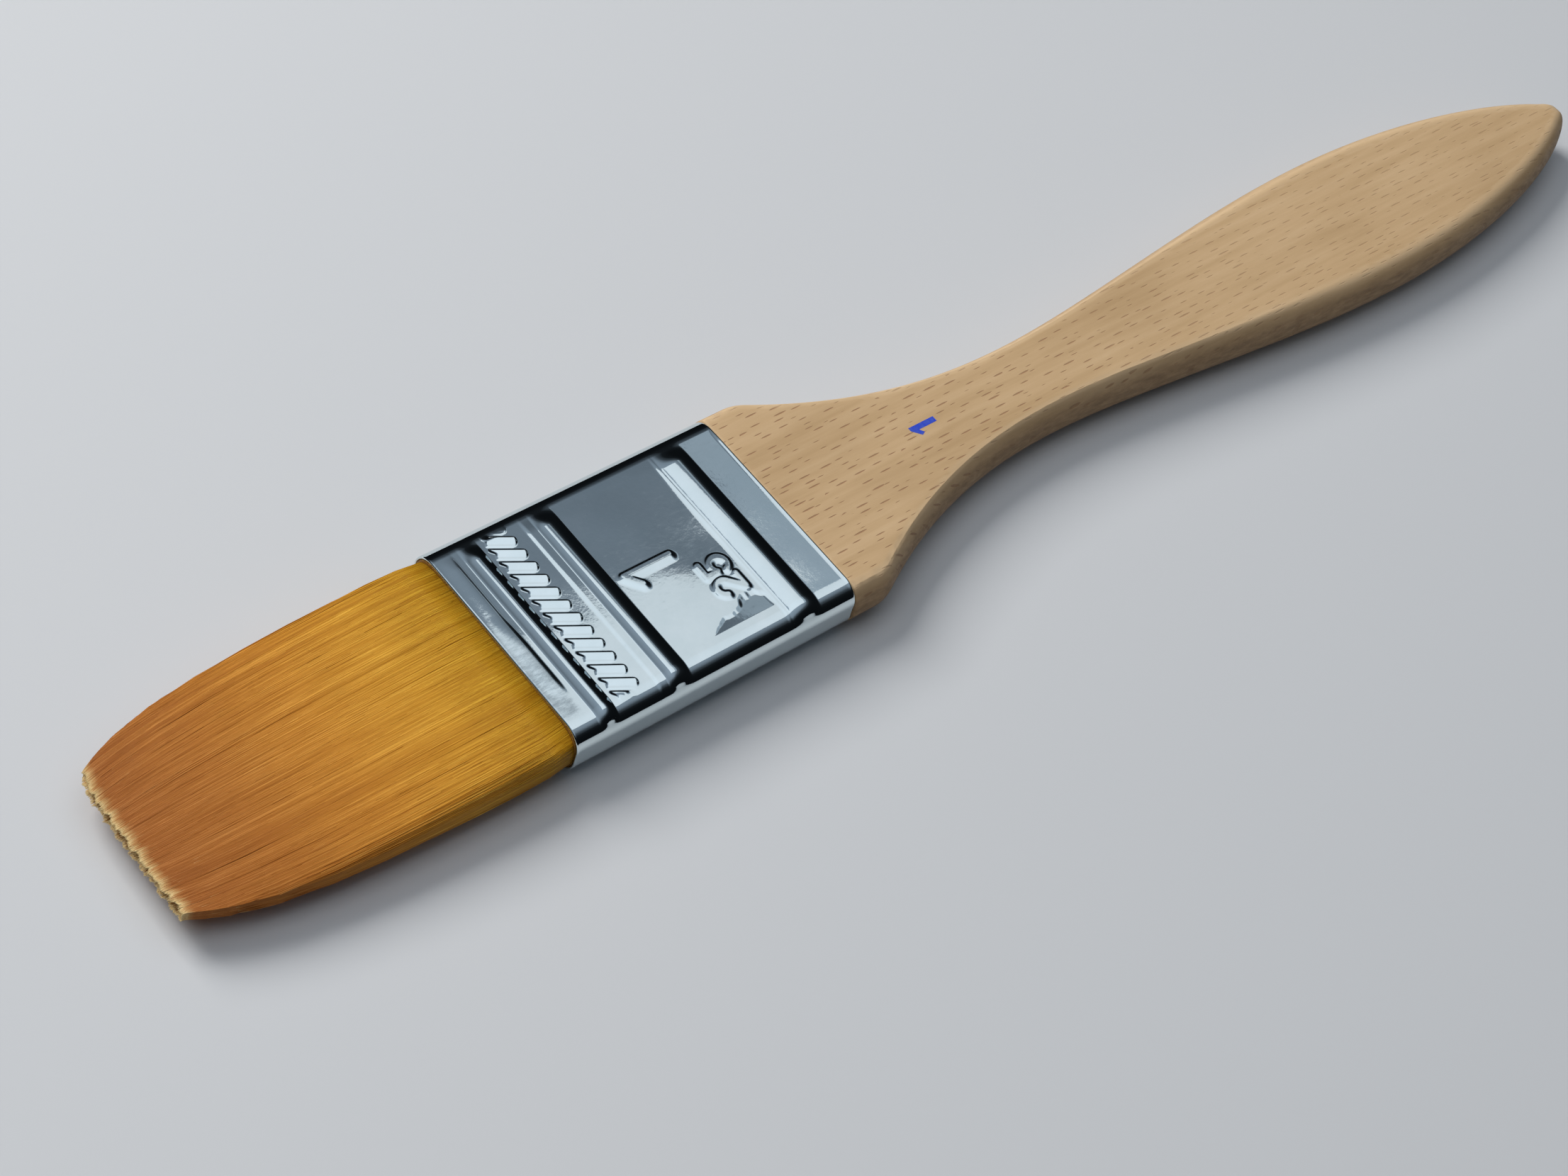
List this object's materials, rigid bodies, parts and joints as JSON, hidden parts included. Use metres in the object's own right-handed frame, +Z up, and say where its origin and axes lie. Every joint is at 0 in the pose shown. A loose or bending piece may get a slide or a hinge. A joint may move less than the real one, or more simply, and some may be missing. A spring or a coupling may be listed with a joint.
{
  "type": "flat varnish brush",
  "caption": "Flat 25 mm varnish brush: tapered filament tuft in a beaded tinplate ferrule on a flat waisted beech handle; the tuft bends at the ferrule's mouth.",
  "frame": {"origin": "under the middle of the brush, on the surface that it lies on", "axes": "+X from the tuft's tip to the handle's tail, +Y across the width, +Z up out of the flat face"},
  "size_m": [0.198, 0.0266, 0.007],
  "materials": {
    "beech": "sanded and lightly oiled steamed beech, rougher on the edges",
    "tinplate": "bright tinned steel sheet, pressed, glossy with fine handling scuffs",
    "filament": "tapered synthetic filaments, golden at the ferrule, red-brown towards the pale tip",
    "resin": "cured clear amber epoxy",
    "glue": "cured epoxy film"
  },
  "bodies": {
    "held_brush": {"handle": "beech", "ferrule": "tinplate", "filament_root": "filament", "root_resin": "resin", "tang_glue": "glue"},
    "free_tuft": {"filament_tuft": "filament"}
  },
  "joints": [
    {"name": "tuft_bend", "type": "hinge", "parent": "held_brush", "child": "free_tuft", "pos_m": [-0.06217, 0, 0.0035], "axis": [0, 1, 0], "range_deg": [-4, 40], "stiffness_Nm_per_rad": 0.04}
  ]
}
